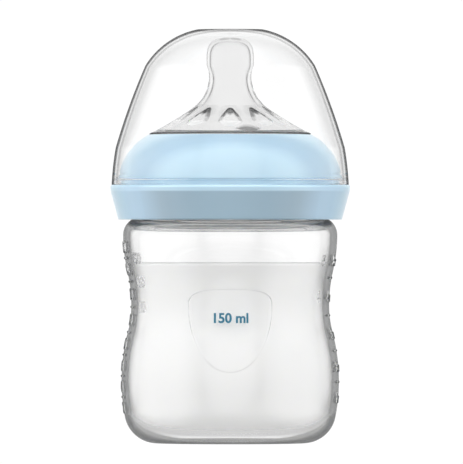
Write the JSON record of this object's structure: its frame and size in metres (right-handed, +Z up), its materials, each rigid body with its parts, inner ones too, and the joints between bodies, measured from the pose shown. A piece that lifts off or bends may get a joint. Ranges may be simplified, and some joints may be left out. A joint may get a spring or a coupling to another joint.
{
  "type": "baby bottle",
  "caption": "Small wide-neck feeding bottle: waisted glass body with milk, soft silicone teat clamped by a threaded screw ring, and a clear dome cap that snaps over the teat.",
  "frame": {"origin": "centre of the base, on the plane the bottle stands on", "axes": "+Z up along the bottle's axis, -Y out of the flat pad on the front of the glass, +X to the side with the ounce marks"},
  "size_m": [0.0738, 0.0738, 0.1275],
  "materials": {
    "glass": "clear polished",
    "milk": "opaque liquid",
    "silicone": "clear satin silicone",
    "ring_plastic": "satin moulded",
    "cap_plastic": "clear polished"
  },
  "bodies": {
    "bottle": {"glass_bottle": "glass", "milk": "milk"},
    "teat": {"teat": "silicone"},
    "ring": {"screw_ring": "ring_plastic"},
    "cap": {"dome_cap": "cap_plastic"}
  },
  "joints": [
    {"name": "collar_lift", "type": "slide", "parent": "bottle", "child": "teat", "axis": [0, 0, 1], "range_m": [0, 0.0226]},
    {"name": "ring_turn", "type": "hinge", "parent": "teat", "child": "ring", "pos_m": [0, 0, 0.08], "axis": [0, 0, 1], "range_deg": [0, 1350]},
    {"name": "cap_pull", "type": "slide", "parent": "ring", "child": "cap", "axis": [0, 0, 1], "range_m": [0, 0.05]}
  ],
  "couplings": [
    {"joint": "collar_lift", "follows": "ring_turn", "m_per_rad": 0.00095493}
  ]
}
